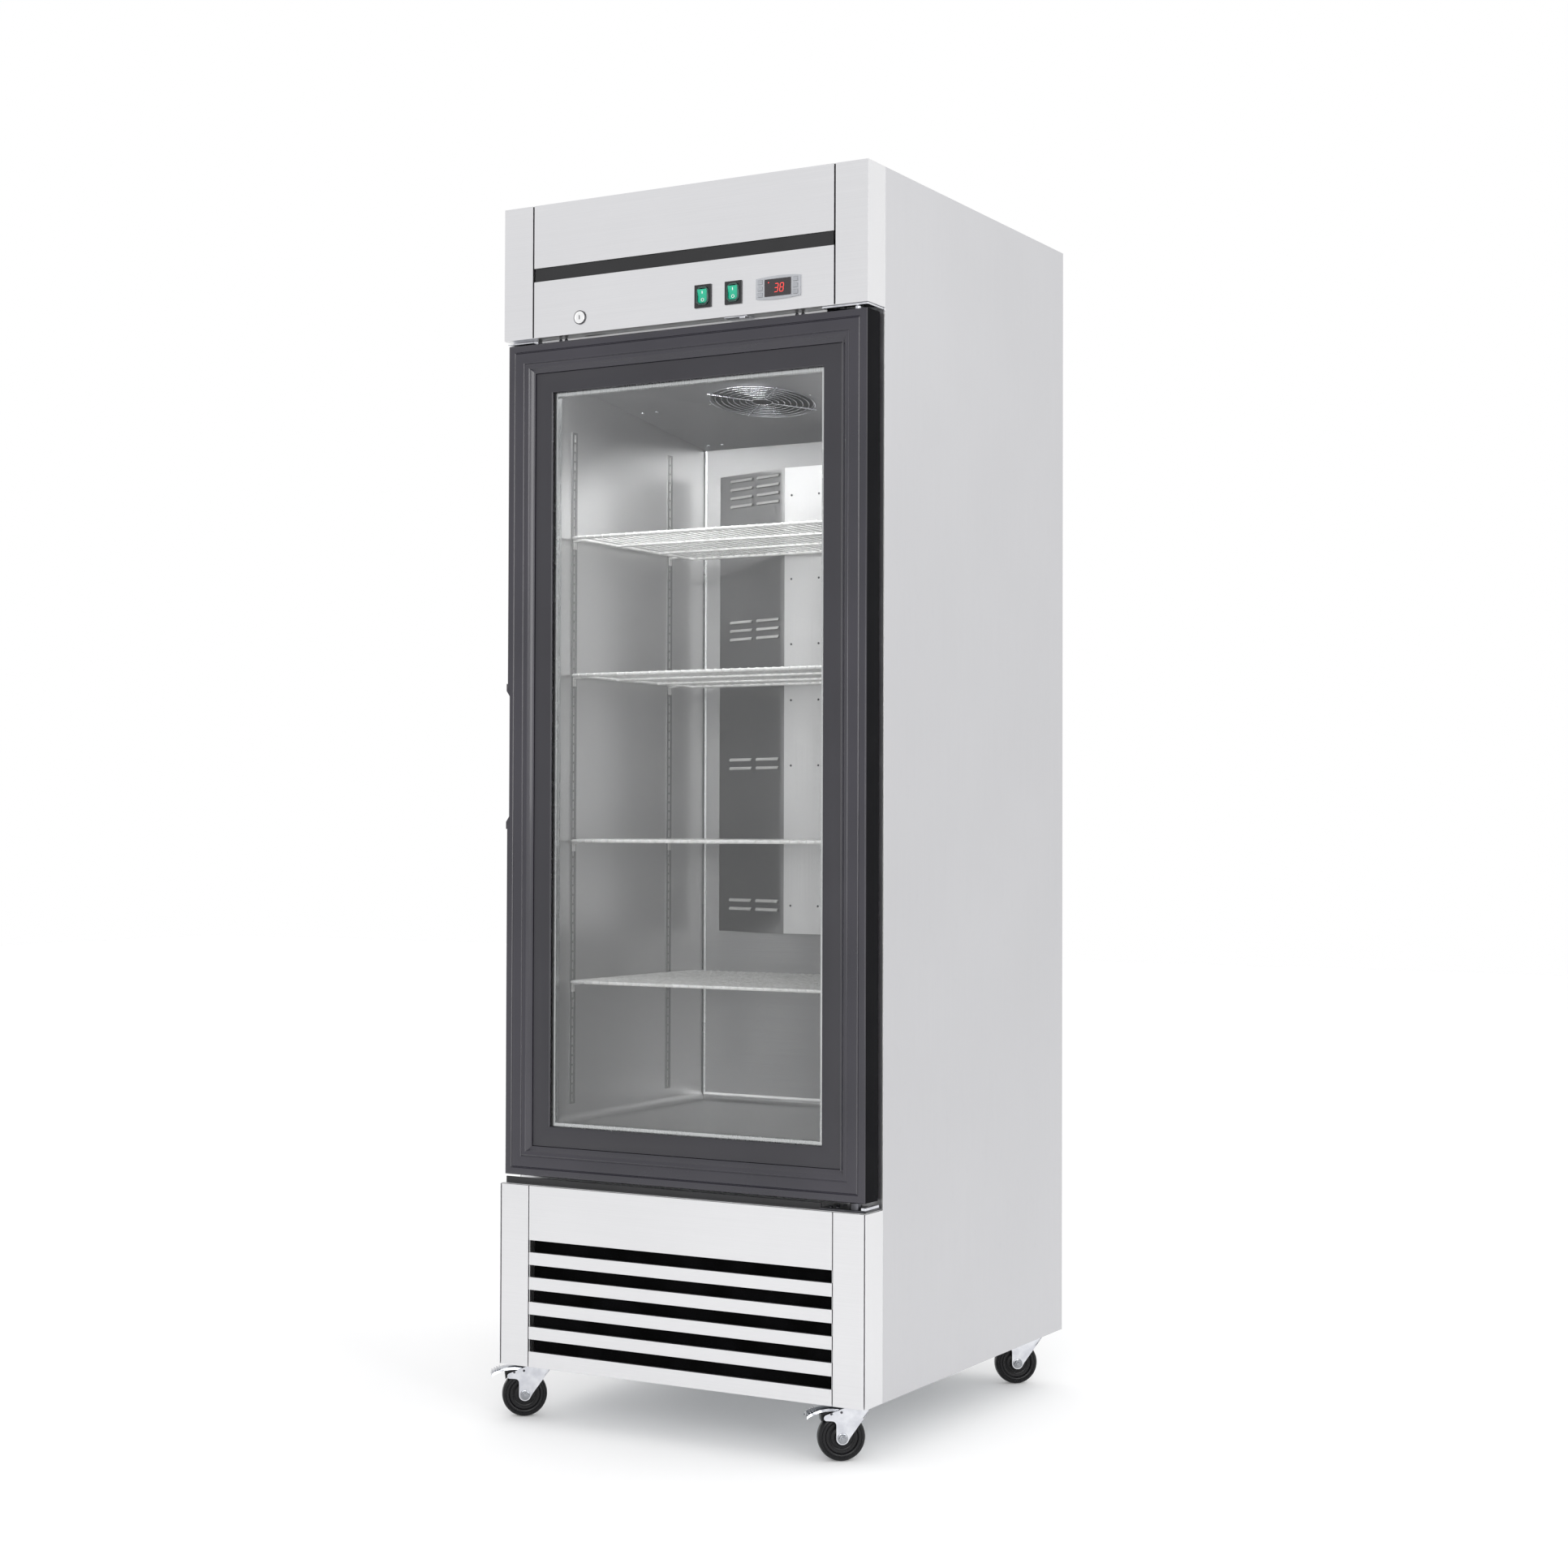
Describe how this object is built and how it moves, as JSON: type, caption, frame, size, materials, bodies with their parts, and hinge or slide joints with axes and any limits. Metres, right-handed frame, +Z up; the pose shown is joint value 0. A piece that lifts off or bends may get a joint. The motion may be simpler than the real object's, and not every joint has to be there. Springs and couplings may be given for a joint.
{
  "type": "reach-in refrigerator",
  "caption": "Upright one-door stainless reach-in refrigerator with a framed glass door, wire shelves, header controls, louvred base and swivel casters.",
  "frame": {"origin": "on the floor, under the centre of the bounding box, brake pedals included", "axes": "+Z up; the door faces -Y; +X is towards the hinge side of the door"},
  "size_m": [0.7183, 0.7521, 2.01],
  "materials": {
    "stainless": "satin brushed stainless",
    "liner_steel": "satin brushed stainless",
    "galvanised": "matte galvanised sheet",
    "zinc": "bright zinc plate",
    "shelf_coating": "gloss coated wire",
    "door_frame_black": "satin charcoal",
    "black_plastic": "satin black",
    "controller_grey": "satin silver grey",
    "key_rubber": "matte grey",
    "green_lens": "gloss translucent green",
    "gasket_black": "matte black",
    "clear_glass": "clear",
    "spacer_aluminium": "bright",
    "foam": "matte rigid foam",
    "wheel_black": "satin black",
    "compressor_black": "satin black enamel",
    "fin_aluminium": "satin",
    "lock_nickel": "satin nickel"
  },
  "bodies": {
    "cabinet": {"side_panel_left": "stainless", "side_panel_right": "stainless", "top_panel": "stainless", "face_frame": "stainless", "header_post_left": "stainless", "header_post_right": "stainless", "header_upper_panel": "stainless", "control_panel": "stainless", "base_post_left": "stainless", "base_post_right": "stainless", "base_grille": "stainless", "back_panel": "galvanised", "chassis": "galvanised", "drain_pan": "galvanised", "power_inlet": "black_plastic", "header_band": "black_plastic", "switch_power_housing": "black_plastic", "switch_light_housing": "black_plastic", "insulation": "foam", "liner": "liner_steel", "evaporator_cover": "liner_steel", "plenum_panel": "liner_steel", "air_duct": "liner_steel", "shelf_standard_front_left": "liner_steel", "shelf_standard_front_right": "liner_steel", "shelf_standard_rear_left": "liner_steel", "shelf_standard_rear_right": "liner_steel", "controller": "controller_grey", "condenser": "fin_aluminium", "evaporator_coil": "fin_aluminium", "compressor": "compressor_black", "hinge_top": "zinc", "hinge_bottom": "zinc"},
    "door": {"door_frame": "door_frame_black", "glazing_bead": "door_frame_black", "glass_outer": "clear_glass", "glass_inner": "clear_glass", "glass_spacer": "spacer_aluminium", "door_gasket": "gasket_black", "door_pull": "door_frame_black"},
    "lock": {"lock_barrel": "lock_nickel"},
    "power_rocker": {"switch_power_rocker": "green_lens"},
    "light_rocker": {"switch_light_rocker": "green_lens"},
    "keypad": {"controller_keypad": "key_rubber"},
    "condenser_fan": {"condenser_fan": "black_plastic"},
    "evaporator_fan": {"evaporator_fan": "black_plastic"},
    "shelf_1": {"shelf_1": "shelf_coating"},
    "shelf_2": {"shelf_2": "shelf_coating"},
    "shelf_3": {"shelf_3": "shelf_coating"},
    "shelf_4": {"shelf_4": "shelf_coating"},
    "caster_front_left": {"caster_fork_front_left": "zinc"},
    "wheel_front_left": {"caster_wheel_front_left": "wheel_black"},
    "caster_front_right": {"caster_fork_front_right": "zinc"},
    "wheel_front_right": {"caster_wheel_front_right": "wheel_black"},
    "caster_rear_left": {"caster_fork_rear_left": "zinc"},
    "wheel_rear_left": {"caster_wheel_rear_left": "wheel_black"},
    "caster_rear_right": {"caster_fork_rear_right": "zinc"},
    "wheel_rear_right": {"caster_wheel_rear_right": "wheel_black"},
    "brake_front_left": {"brake_pedal_front_left": "zinc"},
    "brake_front_right": {"brake_pedal_front_right": "zinc"}
  },
  "joints": [
    {"name": "door_swing", "type": "hinge", "parent": "cabinet", "child": "door", "pos_m": [0.334, -0.3575, 1.092], "axis": [0, 0, 1], "range_deg": [0, 120]},
    {"name": "lock_turn", "type": "hinge", "parent": "cabinet", "child": "lock", "pos_m": [-0.175, -0.3725, 1.816], "axis": [0, 1, 0], "range_deg": [0, 90]},
    {"name": "power_switch_rock", "type": "hinge", "parent": "cabinet", "child": "power_rocker", "pos_m": [0.062, -0.3695, 1.827], "axis": [-1, 0, 0], "range_deg": [0, 16]},
    {"name": "light_switch_rock", "type": "hinge", "parent": "cabinet", "child": "light_rocker", "pos_m": [0.1184, -0.3695, 1.827], "axis": [-1, 0, 0], "range_deg": [0, 16]},
    {"name": "keypad_press", "type": "slide", "parent": "cabinet", "child": "keypad", "axis": [0, 1, 0], "range_m": [0, 0.0008], "stiffness_N_per_m": 400},
    {"name": "condenser_fan_spin", "type": "hinge", "parent": "cabinet", "child": "condenser_fan", "pos_m": [-0.054, -0.2215, 0.232], "axis": [0, 1, 0], "continuous": true},
    {"name": "evaporator_fan_spin", "type": "hinge", "parent": "cabinet", "child": "evaporator_fan", "pos_m": [-0.004, -0.0725, 1.7293], "axis": [0, 0, 1], "continuous": true},
    {"name": "shelf_1_lift", "type": "slide", "parent": "cabinet", "child": "shelf_1", "axis": [0, 0, 1], "range_m": [0, 0.02]},
    {"name": "shelf_2_lift", "type": "slide", "parent": "cabinet", "child": "shelf_2", "axis": [0, 0, 1], "range_m": [0, 0.02]},
    {"name": "shelf_3_lift", "type": "slide", "parent": "cabinet", "child": "shelf_3", "axis": [0, 0, 1], "range_m": [0, 0.02]},
    {"name": "shelf_4_lift", "type": "slide", "parent": "cabinet", "child": "shelf_4", "axis": [0, 0, 1], "range_m": [0, 0.02]},
    {"name": "caster_front_left_swivel", "type": "hinge", "parent": "cabinet", "child": "caster_front_left", "pos_m": [-0.284, -0.3125, 0.082], "axis": [0, 0, 1], "continuous": true},
    {"name": "wheel_front_left_roll", "type": "hinge", "parent": "caster_front_left", "child": "wheel_front_left", "pos_m": [-0.30606, -0.32974, 0.0375], "axis": [0.6157, -0.788, 0], "continuous": true},
    {"name": "caster_front_right_swivel", "type": "hinge", "parent": "cabinet", "child": "caster_front_right", "pos_m": [0.316, -0.3125, 0.082], "axis": [0, 0, 1], "continuous": true},
    {"name": "wheel_front_right_roll", "type": "hinge", "parent": "caster_front_right", "child": "wheel_front_right", "pos_m": [0.29394, -0.32974, 0.0375], "axis": [0.6157, -0.788, 0], "continuous": true},
    {"name": "caster_rear_left_swivel", "type": "hinge", "parent": "cabinet", "child": "caster_rear_left", "pos_m": [-0.284, 0.3345, 0.082], "axis": [0, 0, 1], "continuous": true},
    {"name": "wheel_rear_left_roll", "type": "hinge", "parent": "caster_rear_left", "child": "wheel_rear_left", "pos_m": [-0.30606, 0.31726, 0.0375], "axis": [0.6157, -0.788, 0], "continuous": true},
    {"name": "caster_rear_right_swivel", "type": "hinge", "parent": "cabinet", "child": "caster_rear_right", "pos_m": [0.316, 0.3345, 0.082], "axis": [0, 0, 1], "continuous": true},
    {"name": "wheel_rear_right_roll", "type": "hinge", "parent": "caster_rear_right", "child": "wheel_rear_right", "pos_m": [0.29394, 0.31726, 0.0375], "axis": [0.6157, -0.788, 0], "continuous": true},
    {"name": "brake_front_left_press", "type": "hinge", "parent": "caster_front_left", "child": "brake_front_left", "pos_m": [-0.3234, -0.34328, 0.072], "axis": [0.6157, -0.788, 0], "range_deg": [0, 8]},
    {"name": "brake_front_right_press", "type": "hinge", "parent": "caster_front_right", "child": "brake_front_right", "pos_m": [0.2766, -0.34328, 0.072], "axis": [0.6157, -0.788, 0], "range_deg": [0, 8]}
  ]
}
